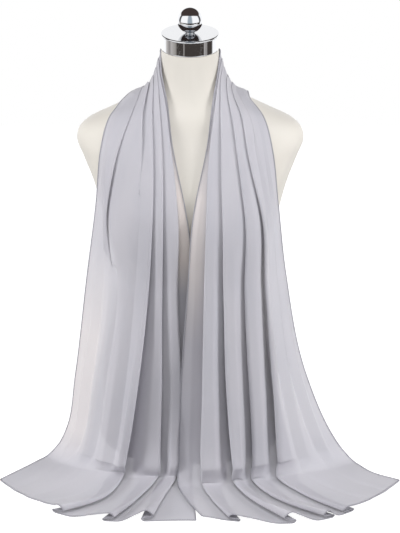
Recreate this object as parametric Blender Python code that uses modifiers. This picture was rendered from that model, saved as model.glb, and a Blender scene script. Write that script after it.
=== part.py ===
"""Chiffon shawl hung round the neck of a limbless dress form with a chrome neck cap and ball.

Metres, +Z up. The front faces -Y and the flat base of the form is centred on the origin.
Tables are in millimetres. "Inner" is the hem next to the neck, "outer" the one on the shoulder.
"""

import math

import bmesh
import bpy
import numpy as np

MM = 0.001

# Cloth
CLOTH_WALL = 1.2
HALF_SEAM_GAP = 0.2  # each stretch ends this far short of its line, along the cloth
# The shawl's stretches: name, start and stop, as places along the cloth from the nape, and mesh rows.
NAPE_STRETCH = ("shawl_nape", -170, 170, 16)
FALL_STRETCHES = (
    ("chest", 170, 440, 9),
    ("waist", 440, 690, 4),
    ("fall", 690, 910, 4),
    ("end", 910, 1105, 9),
)
TABLE_REST = 1.1  # lowest height of the middle of the cloth
FOLDS = 6
CREST_END, VALLEY_START = 0.42, 0.92  # across a panel, as shares of the way from ridge to ridge
TURN_REACH = 1.2  # how far a turn starts before its furthest point, in turn radii
LEAST_REACH = 1.2  # and the least of it in mm, so that a weak fold's points stay apart
OPEN_STRENGTH = 0.5  # a fold weaker than this is an open wave, with nothing tucked under
LEAST_STRENGTH = 0.15
LEAST_TUCK = -0.3  # of an open wave, as a share of the tuck
LAST_TUCK = 0.97  # no fold tucks further out than this share of the way across

# Each row is a line across the cloth, through four points in three equal steps of x: the inner hem,
# near it, far from it and the outer hem.
# along: distance from the nape. rise: height of the ridges. tuck: how far the cloth folds back
# under a ridge.
COLUMNS = (
    "name", "along", "x_in", "x_out", "y_in", "y_near", "y_far", "y_out",
    "z_in", "z_near", "z_far", "z_out", "rise", "tuck",
)
NAPE = (
    ("nape", 0, 0, 0, 56, 78, 101, 114, 771, 708, 648, 592, 8, 8),
    ("nape_side", 75, 36, 103, 42, 60, 80, 93, 772, 714, 672, 640, 7, 5),
    ("shoulder_back", 130, 50, 112, 22, 29, 39, 48, 772, 714, 693, 679, 6.5, 4),
)
LEFT = (
    ("shoulder", 170, 50, 118, 2, 3, 5, 6, 770, 711, 697, 685, 6, 4),
    ("neck_side", 210, 48, 129, -28, -27, -23, -15, 744, 702, 688, 677, 5, 3),
    ("collar", 250, 40, 139, -51, -49, -44, -33, 708, 688, 678, 668, 6, 4),
    ("chest", 340, 30, 154, -88, -86, -79, -64, 634, 627, 622, 618, 10, 8),
    ("bust", 440, 8, 164, -124, -118, -103, -62, 532, 529, 526, 522, 15, 10),
    ("waist", 590, -6, 184, -112, -112, -98, -62, 380, 380, 380, 380, 24, 14),
    ("hips", 790, -6, 211, -112, -114, -102, -68, 180, 180, 180, 180, 27, 16),
    ("knees", 910, -4, 232, -116, -116, -106, -72, 60, 60, 60, 60, 25, 14),
    ("floor", 980, -2, 268, -150, -146, -126, -84, 5, 5, 5, 5, 14, 12),
    ("spread", 1040, -6, 310, -215, -212, -192, -112, 1, 1, 1, 1, 10, 11),
    ("end", 1105, -10, 351, -276, -279, -257, -148, 1, 1, 1, 1, 11, 10),
)
RIGHT = (
    ("shoulder", 170, 51, 106, 2, 3, 5, 6, 770, 711, 698, 688, 6, 4),
    ("neck_side", 210, 47.5, 115, -28, -27, -23, -15, 742, 704, 691, 680.4, 5, 3),
    ("collar", 250, 39, 126, -51, -49, -44, -34, 706, 689, 680, 670, 6, 4),
    ("chest", 340, 29, 142, -88, -86, -80, -68, 632, 627, 622, 618, 10, 8),
    ("bust", 440, 7, 153, -126, -121, -106, -70, 530, 528, 525, 522, 15, 10),
    ("waist", 590, -5, 170, -130, -122, -102, -63, 380, 380, 380, 380, 24, 14),
    ("hips", 790, -18, 211, -130, -124, -107, -70, 180, 180, 180, 180, 27, 16),
    ("knees", 910, -22, 260, -132, -128, -115, -82, 60, 60, 60, 60, 25, 14),
    ("floor", 980, -23, 304, -162, -156, -138, -102, 6, 5, 5, 5, 14, 12),
    ("spread", 1040, -8, 345, -215, -218, -196, -126, 4, 1, 1, 1, 10, 11),
    ("end", 1105, 24, 384, -264, -284, -262, -150, 4, 1, 1, 1, 11, 10),
)
# Where each ridge crosses that line, as a percentage of the way from the inner to the outer hem.
NAPE_RIDGES = (
    (8, 22, 38, 55, 70, 85),
    (8, 21, 35, 52, 67, 84),
    (7, 17, 29, 43, 59, 79),
)
LEFT_RIDGES = (
    (6, 14, 24, 36, 53, 77),
    (5, 13, 22, 33, 52, 78),
    (6, 16, 28, 41, 61, 83),
    (4, 16, 28, 43, 74, 88),
    (9, 26, 37, 52, 85, 94),
    (15, 30, 44, 58, 77, 90),
    (12, 28, 47, 60, 76, 89),
    (12, 27, 48, 61, 77, 90),
    (11, 25, 45, 60, 76, 90),
    (17, 31, 49, 64, 78, 91),
    (21, 40, 65, 76, 85, 93),
)
RIGHT_RIDGES = (
    (5, 14, 26, 42, 60, 80),
    (4, 13, 26, 43, 63, 82),
    (5, 17, 33, 51, 69, 85),
    (5, 22, 45, 60, 75, 88),
    (15, 35, 60, 79, 91, 96),
    (17, 37, 60, 79, 92, 97),
    (17, 36, 55, 74, 84, 93),
    (14, 33, 48, 68, 80, 91),
    (13, 30, 44, 64, 78, 90),
    (13, 33, 50, 68, 80, 91),
    (13, 40, 60, 76, 86, 94),
)
# How strong each fold is at five places, and whether its edge faces the centre (1) or out (-1).
STRENGTH_PLACES = {"nape": 0, "collar": 250, "bust": 440, "hips": 790, "end": 1105}
LEFT_STRENGTH = (
    ("first", 1, 0.9, 0.9, 1.0, 1.1, 1.0),
    ("second", 1, 1.0, 1.0, 1.0, 1.0, 1.0),
    ("third", 1, 1.0, 0.9, 1.0, 1.1, 1.0),
    ("fourth", 1, 1.0, 1.1, 0.7, 0.3, 0.3),
    ("fifth", -1, 0.0, 1.0, 0.8, 0.25, 0.3),
    ("sixth", 1, 0.8, 0.6, 0.2, 0.3, 0.6),
)
RIGHT_STRENGTH = (
    ("first", 1, 0.9, 0.9, 0.9, 0.9, 1.0),
    ("second", 1, 1.0, 1.0, 1.1, 1.1, 1.1),
    ("third", 1, 1.0, 1.0, 1.1, 1.1, 1.0),
    ("fourth", 1, 1.0, 1.0, 1.0, 0.8, 0.8),
    ("fifth", 1, 0.0, 0.6, 0.4, 0.3, 0.4),
    ("sixth", 1, 0.8, 0.6, 0.2, 0.3, 0.6),
)
HEM_LIFT = {"left": 0.0, "right": 0.55}  # height of the inner hem, as a share of the ridges

# Shape of a fold's section along the fall. crest, valley: how far a panel has dropped from its ridge at
# the end of its crest and beside the next ridge. swell: how far the crest stands over the ridge.
# low_turn, high_turn: radius of the turn under a panel and of the ridge. All are shares of the ridge.
SECTION_COLUMNS = ("name", "along", "crest", "valley", "swell", "low_turn", "high_turn")
SECTIONS = (
    ("nape", 0, 0.30, 0.80, 0.10, 0.28, 0.28),
    ("collar", 250, 0.25, 0.80, 0.10, 0.26, 0.26),
    ("bust", 440, 0.10, 0.80, 0.06, 0.2, 0.2),
    ("waist", 590, 0.06, 0.84, 0.05, 0.16, 0.16),
    ("knees", 910, 0.06, 0.86, 0.05, 0.16, 0.16),
    ("floor", 980, 0.20, 0.90, 0.02, 0.2, 0.26),
    ("spread", 1040, 0.60, 0.96, 0.0, 0.2, 0.42),
    ("end", 1105, 0.70, 0.98, 0.0, 0.2, 0.55),
)

# Dress form: height, half-width, front depth, back depth and squareness of each level section.
FORM_SECTIONS = (
    ("base", 0, 158, 95, 96, 2.3),
    ("base_round", 4, 162, 99, 100, 2.3),
    ("below_hips", 80, 166, 103, 104, 2.3),
    ("hips", 160, 163, 102, 104, 2.3),
    ("above_hips", 220, 154, 97, 96, 2.3),
    ("below_waist", 280, 140, 88, 84, 2.3),
    ("waist", 335, 134, 84, 78, 2.3),
    ("ribs", 390, 138, 90, 81, 2.3),
    ("under_bust", 440, 148, 101, 88, 2.3),
    ("bust", 500, 160, 115, 97, 2.3),
    ("above_bust", 550, 173, 110, 101, 2.25),
    ("chest", 590, 188, 94, 99, 2.15),
    ("arm_end", 620, 198, 81, 94, 2.05),
    ("arm_top", 638, 193, 74, 90, 2.0),
    ("shoulder_end", 651, 179, 70, 86, 2.0),
    ("shoulder", 664, 151, 67, 82, 2.0),
    ("shoulder_mid", 678, 121, 63, 77, 2.0),
    ("collar", 690, 94, 58, 71, 2.0),
    ("neck_root", 703, 71, 54, 64, 2.0),
    ("neck_low", 722, 56, 51, 56, 2.0),
    ("neck", 745, 50.5, 49.5, 50.5, 2.0),
    ("neck_top", 781, 49, 49, 49, 2.0),
)
FORM_SEGMENTS, FORM_RINGS = 40, 30

# Neck cap and finial
CAP_BOTTOM, CAP_TOP, CAP_RADIUS = 781.3, 806.0, 50.0
LIP_RADIUS, LIP_REACH = 1.7, 0.4  # the rounded edge of the disc, and the step under it
DRUM_RADIUS, DRUM_BEVEL = 49.0, 1.0
BALL_RADIUS, BALL_CENTRE = 22.0, 831.0
COLLAR_RADIUS, COLLAR_BOTTOM, COLLAR_RIM = 8.0, 806.3, 1.2
COLLAR_FLARE = 0.6
ROUND_STEPS, BALL_STEPS, LIP_STEPS = 48, 15, 6
MERGE_DISTANCE = 0.00001


def material(name, rgb, roughness, metallic=0.0):
    made = bpy.data.materials.new(name)
    made.use_nodes = True
    shader = made.node_tree.nodes["Principled BSDF"]
    shader.inputs["Base Color"].default_value = (*rgb, 1.0)
    shader.inputs["Roughness"].default_value = roughness
    shader.inputs["Metallic"].default_value = metallic
    made.diffuse_color = (*rgb, 1.0)
    return made


def add_object(name, bm, surface, collection):
    """An object in metres from a bmesh that is in millimetres, smooth shaded."""
    bmesh.ops.scale(bm, vec=(MM, MM, MM), verts=bm.verts)
    mesh = bpy.data.meshes.new(name)
    bm.to_mesh(mesh)
    bm.free()
    mesh.polygons.foreach_set("use_smooth", [True] * len(mesh.polygons))
    mesh.materials.append(surface)
    made = bpy.data.objects.new(name, mesh)
    collection.objects.link(made)
    return made


def smooth_through(places, values, wanted):
    """Values at the wanted places, on a smooth curve through the given ones (rows)."""
    places, values = np.asarray(places, float), np.asarray(values, float)
    slopes = np.empty_like(values)
    steps = np.diff(places)[:, None]
    grades = np.diff(values, axis=0) / steps
    slopes[0], slopes[-1] = grades[0], grades[-1]
    slopes[1:-1] = (grades[:-1] * steps[1:] + grades[1:] * steps[:-1]) / (steps[1:] + steps[:-1])
    wanted = np.clip(np.asarray(wanted, float), places[0], places[-1])
    at = np.clip(np.searchsorted(places, wanted) - 1, 0, len(places) - 2)
    width = (places[at + 1] - places[at])[:, None]
    share = (wanted - places[at])[:, None] / width
    start, end = values[at], values[at + 1]
    bend_in, bend_out = slopes[at] * width, slopes[at + 1] * width
    square, cube = share**2, share**3
    return (
        (2 * cube - 3 * square + 1) * start
        + (cube - 2 * square + share) * bend_in
        + (3 * square - 2 * cube) * end
        + (cube - square) * bend_out
    )


def joined_tables():
    """The whole shawl as one table: from its left end, over the nape, to its right end."""
    lines, ridges = [], []
    for side, table, shares in (
        (-1, LEFT[::-1] + NAPE[::-1], LEFT_RIDGES[::-1] + NAPE_RIDGES[::-1]),
        (1, NAPE[1:] + RIGHT, NAPE_RIDGES[1:] + RIGHT_RIDGES),
    ):
        for row, share in zip(table, shares):
            line = dict(zip(COLUMNS, row))
            line["along"] *= side
            line["x_in"] *= side
            line["x_out"] *= side
            lines.append([line[name] for name in COLUMNS[1:]])
            ridges.append(share)
    return np.array(lines, float), np.array(ridges, float) / 100


LINES, RIDGES = joined_tables()


def base_points(shares, lines):
    """Points on the smooth surface under the folds: shares across (rows x columns), one line a row."""
    value = dict(zip(COLUMNS[1:], lines.T[:, :, None]))
    first = -4.5 * (shares - 1 / 3) * (shares - 2 / 3) * (shares - 1)
    near = 13.5 * shares * (shares - 2 / 3) * (shares - 1)
    far = -13.5 * shares * (shares - 1 / 3) * (shares - 1)
    last = 4.5 * shares * (shares - 1 / 3) * (shares - 2 / 3)
    x = value["x_in"] + shares * (value["x_out"] - value["x_in"])
    y, z = (
        first * value[f"{axis}_in"]
        + near * value[f"{axis}_near"]
        + far * value[f"{axis}_far"]
        + last * value[f"{axis}_out"]
        for axis in "yz"
    )
    return np.stack((x, y, np.maximum(z, TABLE_REST)), axis=-1)


def fold_strengths(along):
    """Strength of each fold at each row, and 1 or -1 for the way its edge faces."""
    places = list(STRENGTH_PLACES.values())
    left = np.array([row[2:] for row in LEFT_STRENGTH], float).T
    right = np.array([row[2:] for row in RIGHT_STRENGTH], float).T
    strong = smooth_through(
        [-place for place in places[::-1]] + places[1:],
        np.concatenate((left[::-1], right[1:])),
        along,
    )
    facing = np.where(
        along[:, None] < 0,
        [row[1] for row in LEFT_STRENGTH],
        [row[1] for row in RIGHT_STRENGTH],
    )
    return np.maximum(strong, LEAST_STRENGTH), facing


def fold_profile(ridges, rise, tuck, facing, hem_height, section):
    """Shares across and heights of a section's control points, one row for each place along."""
    high = rise["mm"]
    low = np.zeros_like(high)
    low_reach, high_reach = (
        np.maximum(TURN_REACH * section[turn] * rise["share"], rise["least_reach"])
        for turn in ("low_turn", "high_turn")
    )
    low_turn, high_turn = section["low_turn"] * high, (1 - section["high_turn"]) * high
    # A fold facing the centre turns low first, then high, going out. One facing out is the reverse.
    centre = facing > 0
    out_most = np.where(centre, np.minimum(ridges + tuck, LAST_TUCK), ridges)
    in_most = np.where(centre, ridges, ridges - tuck)
    shares = (
        out_most - np.where(centre, low_reach, high_reach),
        out_most,
        in_most,
        in_most + np.where(centre, high_reach, low_reach),
    )
    heights = (
        np.where(centre, low, high),
        np.where(centre, low_turn, high_turn),
        np.where(centre, high_turn, low_turn),
        np.where(centre, high, low),
    )
    none = np.zeros((len(ridges), 1))
    starts = np.concatenate((none, shares[3]), axis=1)
    ends = np.concatenate((shares[0], none + 1), axis=1)
    start_heights = np.concatenate((hem_height[:, None], heights[3]), axis=1)
    end_heights = np.concatenate((heights[0], none), axis=1)
    edges = np.concatenate((none, ridges, none + 1), axis=1)
    seen = np.diff(edges, axis=1)
    drop = end_heights - start_heights
    crests = edges[:, :-1] + CREST_END * seen
    crest_heights = start_heights + section["crest"] * drop + section["swell"] * start_heights
    valleys = np.minimum(edges[:, :-1] + VALLEY_START * seen, ends - (1 - VALLEY_START) * seen)
    valley_heights = start_heights + section["valley"] * drop
    share, height = [starts[:, 0]], [start_heights[:, 0]]
    for fold in range(FOLDS + 1):
        share += [crests[:, fold], valleys[:, fold]]
        height += [crest_heights[:, fold], valley_heights[:, fold]]
        if fold < FOLDS:
            share += [part[:, fold] for part in shares]
            height += [part[:, fold] for part in heights]
    return np.array(share + [ends[:, -1]]), np.array(height + [end_heights[:, -1]])


def cloth_rows(along):
    """Points of the cloth's middle surface, one row for each place along the shawl."""
    along = np.asarray(along, float)
    lines = smooth_through(LINES[:, 0], LINES, along)
    ridges = smooth_through(LINES[:, 0], RIDGES, along)
    value = dict(zip(COLUMNS[1:], lines.T))
    strong, facing = fold_strengths(along)
    across = base_points(np.linspace(0, 1, 25)[None, :].repeat(len(along), 0), lines)
    width = np.linalg.norm(np.diff(across, axis=1), axis=2).sum(axis=1)[:, None]
    rise = {"mm": value["rise"][:, None] * strong}
    rise["share"] = rise["mm"] / width
    rise["least_reach"] = LEAST_REACH / width
    tucked = np.maximum((strong - OPEN_STRENGTH) / (1 - OPEN_STRENGTH), LEAST_TUCK)
    tuck = value["tuck"][:, None] / width * tucked
    lift = np.interp(along, (-200, 200), (HEM_LIFT["left"], HEM_LIFT["right"]))
    table = np.array([row[1:] for row in SECTIONS], float)
    shapes = smooth_through(table[:, 0], table, np.abs(along))
    section = dict(zip(SECTION_COLUMNS[1:], shapes.T[:, :, None]))
    share, height = fold_profile(ridges, rise, tuck, facing, value["rise"] * lift, section)
    return base_points(share.T, lines) + height.T[:, :, None] * base_normals(share.T, along)


def base_normals(share, along):
    """Outward normals of the surface under the folds."""
    step_share, step_along = 0.01, 2.0
    lines = [smooth_through(LINES[:, 0], LINES, along + step) for step in (-step_along, step_along)]
    back, ahead = (base_points(share, line) for line in lines)
    middle = smooth_through(LINES[:, 0], LINES, along)
    across = base_points(share + step_share, middle) - base_points(share - step_share, middle)
    normal = np.cross(ahead - back, across)
    normal /= np.linalg.norm(normal, axis=2, keepdims=True)
    return normal


def add_cloth(name, start, stop, rows, surface, collection):
    """One stretch of the shawl, as an open surface given its wall by a Solidify."""
    near, far = sorted((start, stop))
    grid = cloth_rows(np.linspace(near + HALF_SEAM_GAP, far - HALF_SEAM_GAP, rows + 1))
    bm = bmesh.new()
    verts = [[bm.verts.new(point) for point in row] for row in grid]
    for row, above in zip(verts[:-1], verts[1:]):
        for i in range(len(row) - 1):
            bm.faces.new((row[i], row[i + 1], above[i + 1], above[i]))
    made = add_object(name, bm, surface, collection)
    wall = made.modifiers.new("wall", "SOLIDIFY")
    wall.thickness = CLOTH_WALL * MM
    wall.offset = 0.0
    return made


def add_form(surface, collection):
    """The limbless form, lofted through its level sections."""
    table = np.array([row[1:] for row in FORM_SECTIONS], float)
    base_ring, base_round = table[0, 0], table[1, 0]
    heights = np.concatenate(([base_ring], np.linspace(base_round, table[-1, 0], FORM_RINGS)))
    shapes = smooth_through(table[:, 0], table, heights)
    turn = np.linspace(0, 2 * math.pi, FORM_SEGMENTS, endpoint=False)
    bm = bmesh.new()
    rings = []
    for height, half, front, back, square in shapes:
        x = half * np.sign(np.cos(turn)) * np.abs(np.cos(turn)) ** (2 / square)
        depth = np.where(np.sin(turn) < 0, front, back)
        y = depth * np.sign(np.sin(turn)) * np.abs(np.sin(turn)) ** (2 / square)
        rings.append([bm.verts.new((px, py, height)) for px, py in zip(x, y)])
    for ring, above in zip(rings[:-1], rings[1:]):
        for i in range(FORM_SEGMENTS):
            j = (i + 1) % FORM_SEGMENTS
            bm.faces.new((ring[i], ring[j], above[j], above[i]))
    bm.faces.new(rings[0][::-1])
    bm.faces.new(rings[-1])
    return add_object("form_torso", bm, surface, collection)


def add_turned(name, profile, surface, collection):
    """A solid of revolution about the neck's axis, from a profile that runs down its outer side."""
    bm = bmesh.new()
    verts = [bm.verts.new((radius, 0, height)) for radius, height in profile]
    for upper, lower in zip(verts[:-1], verts[1:]):
        bm.edges.new((upper, lower))
    made = add_object(name, bm, surface, collection)
    screw = made.modifiers.new("turned", "SCREW")
    screw.axis = "Z"
    screw.steps = screw.render_steps = ROUND_STEPS
    screw.use_merge_vertices = True
    screw.merge_threshold = MERGE_DISTANCE
    screw.use_smooth_shade = True
    return made


def cap_profile():
    """Flat disc with a rounded edge, on a slightly smaller drum."""
    lip = [
        (
            CAP_RADIUS - LIP_RADIUS * (1 - math.sin(angle)),
            CAP_TOP - LIP_RADIUS * (1 - math.cos(angle)),
        )
        for angle in np.radians(np.linspace(0, 150, LIP_STEPS))
    ]
    drum = [
        (DRUM_RADIUS, CAP_TOP - 2 * LIP_RADIUS - LIP_REACH),
        (DRUM_RADIUS, CAP_BOTTOM + DRUM_BEVEL),
        (DRUM_RADIUS - DRUM_BEVEL, CAP_BOTTOM),
    ]
    return [(0, CAP_TOP)] + lip + drum + [(0, CAP_BOTTOM)]


def finial_profile():
    """A ball that runs into a short collar."""
    last = math.pi - math.asin(COLLAR_RADIUS / BALL_RADIUS)
    ball = [
        (BALL_RADIUS * math.sin(angle), BALL_CENTRE + BALL_RADIUS * math.cos(angle))
        for angle in np.linspace(0, last, BALL_STEPS)
    ]
    rim = COLLAR_RADIUS + COLLAR_FLARE
    return ball + [(rim, COLLAR_BOTTOM + COLLAR_RIM), (rim, COLLAR_BOTTOM), (0, COLLAR_BOTTOM)]


def main():
    for old in list(bpy.data.objects):
        bpy.data.objects.remove(old, do_unlink=True)
    collection = bpy.data.collections.new("shawl_on_dress_form")
    bpy.context.scene.collection.children.link(collection)
    chiffon = material("lavender_grey_chiffon", (0.52, 0.51, 0.55), 0.6)
    cream = material("cream_form_skin", (0.83, 0.79, 0.73), 0.45)
    chrome = material("polished_chrome", (0.62, 0.62, 0.63), 0.06, 1.0)
    add_cloth(*NAPE_STRETCH, chiffon, collection)
    for stretch, start, stop, rows in FALL_STRETCHES:
        add_cloth(f"shawl_left_{stretch}", -stop, -start, rows, chiffon, collection)
        add_cloth(f"shawl_right_{stretch}", start, stop, rows, chiffon, collection)
    add_form(cream, collection)
    add_turned("neck_cap", cap_profile(), chrome, collection)
    add_turned("finial", finial_profile(), chrome, collection)


main()
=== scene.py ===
"""Looks of a chiffon shawl hung on a dress form: the draped cloth with its overlocked hem, the painted
form and the chromed neck cap and ball, on a pale floor in soft studio light.

The frame is in metres, +Z up, front towards -Y. The drape's tables are in millimetres.
"""

import math

import bmesh
import bpy
import numpy as np
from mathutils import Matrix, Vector


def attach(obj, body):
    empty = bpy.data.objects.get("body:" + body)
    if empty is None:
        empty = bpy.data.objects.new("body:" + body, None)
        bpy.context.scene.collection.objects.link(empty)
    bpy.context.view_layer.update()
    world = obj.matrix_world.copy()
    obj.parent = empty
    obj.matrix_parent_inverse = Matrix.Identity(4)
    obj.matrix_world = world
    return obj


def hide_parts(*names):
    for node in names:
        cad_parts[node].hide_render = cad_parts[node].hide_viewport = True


MM = 0.001

# The camera, found from the cap's ellipse: place, pitch below the horizon and focal length in pixels
# of a picture 533 pixels high.
CAMERA_PLACE = (0.017, -2.67, 1.70)
CAMERA_PITCH = 26.57
FOCAL_PIXELS, PICTURE_HEIGHT = 1641, 533
SENSOR_MM = 36

# The cut of the shawl, laid flat, and the stretches of each fall that the solids are in.
CUT_WIDTH, CUT_LENGTH = 0.60, 2.10
STRETCHES = ("chest", "waist", "fall", "end")

# ---- The drape -------------------------------------------------------------------------------------
# Each line crosses the cloth from the inner hem, next to the neck, to the outer one on the shoulder,
# through four points in three equal steps of x. along: distance from the nape. rise: height of the
# ridges. tuck: how far the cloth folds back under a ridge.
COLUMNS = (
    "name", "along", "x_in", "x_out", "y_in", "y_near", "y_far", "y_out",
    "z_in", "z_near", "z_far", "z_out", "rise", "tuck",
)
NAPE = (
    ("nape", 0, 0, 0, 56, 78, 101, 114, 771, 708, 648, 592, 6, 28),
    ("nape_side", 75, 36, 96, 42, 60, 80, 93, 772, 714, 672, 641, 4, 22),
    ("shoulder_back", 130, 50, 101, 22, 29, 39, 48, 772, 714, 696, 685, 2.4, 16),
)
LEFT = (
    ("shoulder", 170, 50, 118, 2, 3, 5, 6, 770, 711, 697, 685, 2.2, 11),
    ("neck_side", 210, 48, 129, -28, -27, -23, -15, 744, 702, 688, 677, 2.5, 11),
    ("collar", 250, 40, 139, -51, -49, -44, -33, 708, 688, 678, 668, 4, 14),
    ("chest", 340, 30, 154, -82, -83, -79, -64, 634, 627, 622, 618, 6, 20),
    ("bust", 440, 8, 164, -118, -115, -103, -62, 532, 529, 526, 522, 9, 28),
    ("waist", 590, -6, 184, -103, -105, -98, -62, 380, 380, 380, 380, 20, 48),
    ("hips", 790, -6, 211, -107, -117, -106, -68, 180, 180, 180, 180, 36, 66),
    ("knees", 910, -4, 232, -121, -126, -110, -66, 60, 60, 60, 60, 40, 68),
    ("foot", 948, -3, 247, -130, -133, -112, -63, 24, 24, 24, 26, 38, 66),
    ("floor", 980, -2, 266, -152, -146, -128, -68, 3, 3, 3, 5, 19, 44),
    ("spread", 1040, -6, 305, -215, -212, -192, -104, 1, 1, 1, 1, 12, 30),
    ("end", 1105, -10, 351, -276, -279, -257, -148, 1, 1, 1, 1, 19, 24),
)
RIGHT = (
    ("shoulder", 170, 51, 104, 2, 3, 5, 6, 770, 711, 698, 687, 2, 11),
    ("neck_side", 210, 46, 115, -28, -27, -23, -15, 742, 704, 691, 680.4, 2.5, 11),
    ("collar", 250, 39, 126, -51, -49, -44, -34, 706, 689, 680, 670, 4, 14),
    ("chest", 340, 29, 142, -82, -83, -80, -68, 632, 627, 622, 618, 6, 20),
    ("bust", 440, 7, 153, -120, -119, -106, -70, 530, 528, 525, 522, 9, 28),
    ("waist", 590, -5, 170, -126, -118, -102, -63, 380, 380, 380, 380, 20, 48),
    ("hips", 790, -18, 211, -124, -120, -104, -70, 180, 180, 180, 180, 36, 66),
    ("knees", 910, -22, 260, -138, -136, -114, -78, 60, 60, 60, 60, 40, 68),
    ("foot", 948, -23, 280, -148, -148, -119, -78, 24, 24, 24, 26, 38, 66),
    ("floor", 980, -23, 300, -168, -166, -139, -86, 4, 3, 3, 5, 19, 44),
    ("spread", 1040, -8, 335, -215, -220, -196, -124, 3, 1, 1, 1, 12, 30),
    ("end", 1105, 20, 384, -268, -285, -262, -150, 2, 1, 1, 1, 19, 24),
)
SHAWL_NODES = ("shawl_nape", *(f"shawl_{side}_{part}" for side in ("left", "right") for part in STRETCHES))
# Where each ridge crosses that line, as a percentage of the way from the inner to the outer hem.
NAPE_RIDGES = (
    (8, 22, 38, 55, 70, 85),
    (8, 21, 35, 52, 67, 84),
    (7, 17, 29, 43, 59, 79),
)
LEFT_RIDGES = (
    (4, 10, 18, 28, 52, 79),
    (2, 7, 17, 30, 53, 89),
    (2, 11, 23, 38, 58, 91),
    (2, 14, 26, 41, 74, 92),
    (8, 24, 35, 52, 84, 94),
    (15, 29, 41, 58, 74, 88),
    (12, 27, 45, 60, 76, 89),
    (12, 25, 47, 61, 77, 90),
    (11, 23, 46, 60, 76, 90),
    (10, 22, 45, 60, 76, 90),
    (17, 31, 49, 64, 78, 91),
    (21, 40, 65, 76, 85, 93),
)
RIGHT_RIDGES = (
    (4, 9, 20, 37, 58, 80),
    (2, 7, 23, 42, 63, 84),
    (4, 13, 32, 51, 69, 86),
    (4, 21, 44, 60, 76, 89),
    (14, 32, 57, 75, 86, 94),
    (15, 34, 54, 73, 84, 94),
    (16, 34, 51, 68, 81, 92),
    (14, 32, 45, 60, 77, 90),
    (14, 31, 42, 57, 75, 89),
    (13, 30, 41, 55, 73, 88),
    (13, 33, 46, 61, 77, 90),
    (13, 40, 59, 69, 84, 93),
)
# How strong each fold is at six places along the fall. Each fold's edge faces the centre.
STRENGTH_PLACES = {"nape": 0, "collar": 250, "bust": 440, "waist": 590, "hips": 790, "end": 1105}
LEFT_STRENGTH = (
    ("first", 0.8, 0.8, 1.0, 0.85, 0.55, 1.2),
    ("second", 0.9, 0.8, 1.0, 0.9, 0.65, 0.9),
    ("third", 0.9, 0.9, 1.0, 1.15, 1.4, 1.0),
    ("fourth", 1.0, 1.5, 0.15, 0.15, 0.15, 0.15),
    ("fifth", 0.6, 1.0, 0.8, 0.15, 0.15, 0.15),
    ("sixth", 0.2, 0.2, 0.2, 0.15, 0.15, 0.15),
)
RIGHT_STRENGTH = (
    ("first", 0.8, 0.8, 1.0, 1.1, 1.2, 0.7),
    ("second", 0.9, 0.9, 1.1, 1.15, 1.15, 1.25),
    ("third", 0.9, 1.0, 1.1, 1.05, 1.0, 0.9),
    ("fourth", 0.9, 1.0, 1.2, 1.15, 1.1, 0.7),
    ("fifth", 0.0, 0.35, 0.15, 0.15, 0.15, 0.15),
    ("sixth", 0.2, 0.2, 0.15, 0.15, 0.15, 0.2),
)
HEM_LIFT = {"left": 0.0, "right": 0.15}  # height of the inner hem, as a share of the ridges
LIFT_CHANGE = 200  # it changes over this distance on each side of the nape

# Shape of a fold's section along the fall. crest, valley: how far a panel has dropped from its ridge at
# the end of its crest and beside the next ridge. swell: how far the crest stands over the ridge.
# low_turn, high_turn: radius of the turn under a panel and of the ridge. All are shares of the ridge.
SECTION_COLUMNS = ("name", "along", "crest", "valley", "swell", "low_turn", "high_turn")
SECTIONS = (
    ("nape", 0, 0.20, 0.60, 0.06, 0.28, 0.28),
    ("collar", 250, 0.15, 0.55, 0.04, 0.26, 0.26),
    ("bust", 440, 0.08, 0.45, 0.04, 0.22, 0.22),
    ("waist", 590, 0.05, 0.45, 0.04, 0.18, 0.18),
    ("knees", 910, 0.06, 0.58, 0.05, 0.14, 0.14),
    ("foot", 948, 0.08, 0.6, 0.05, 0.14, 0.14),
    ("floor", 980, 0.15, 0.7, 0.04, 0.2, 0.2),
    ("spread", 1040, 0.40, 0.95, 0.04, 0.2, 0.36),
    ("end", 1105, 0.38, 1.0, 0.08, 0.25, 0.5),
)
CREST_END, VALLEY_START = 0.42, 0.92  # across a panel, as shares of the way from ridge to ridge
CREST_IN, CREST_OUT, VALLEY_IN = 0.1, 0.2, 0.05  # least room beside them, as shares of the same way
FOLDS = 6
TURN_REACH = 1.2  # how far a turn starts before its furthest point, in turn radii
OPEN_STRENGTH, FULL_STRENGTH = 0.3, 0.6  # a weaker fold is an open wave, a stronger one is tucked in full
LEAST_STRENGTH = 0.15  # a fold as weak as this doesn't show
LEAST_TUCK = -0.1  # of an open wave, as a share of the tuck
TUCK_ROOM, OPEN_ROOM = 0.88, 0.3  # most tuck, and most of an open wave's rise, as shares of their panels
LEVEL_ROUNDS = 60  # enough for the faded folds to settle on one line
RISING_CREST = 0.8  # how far a panel that rises to its next fold has risen at the end of its crest
OPEN_REACH = 0.8  # how far an open wave's turns reach, as a share of its rise
LAST_TUCK = 0.97  # no fold tucks further out than this share of the way across
TABLE_REST = 1.1  # lowest height of the cloth
# Places across one fold, from its high turn's furthest point at 0: the turn's end, the end of the crest,
# the valley, the start of the low turn and its furthest point. The next fold starts at FOLD_PERIOD.
TURN_END, CREST, VALLEY, TURN_START, TURN_FURTHEST, FOLD_PERIOD = 0.5, 1.5, 2.7, 3.5, 4, 5
PANEL_STEPS, TURN_STEPS = 14, 5  # mesh columns across a panel, and across each half place of a turn
ROW_STEP = 6.0
WIDTH_POINTS = 25  # points across at which the width of the cloth under the folds is measured
STEEPEST = 2.5  # slope of a steady curve at a given place, in the smaller of the grades beside it
SLOPE_SHARE, SLOPE_ALONG = 0.01, 2.0  # steps over which the surface's slope is taken


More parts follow.
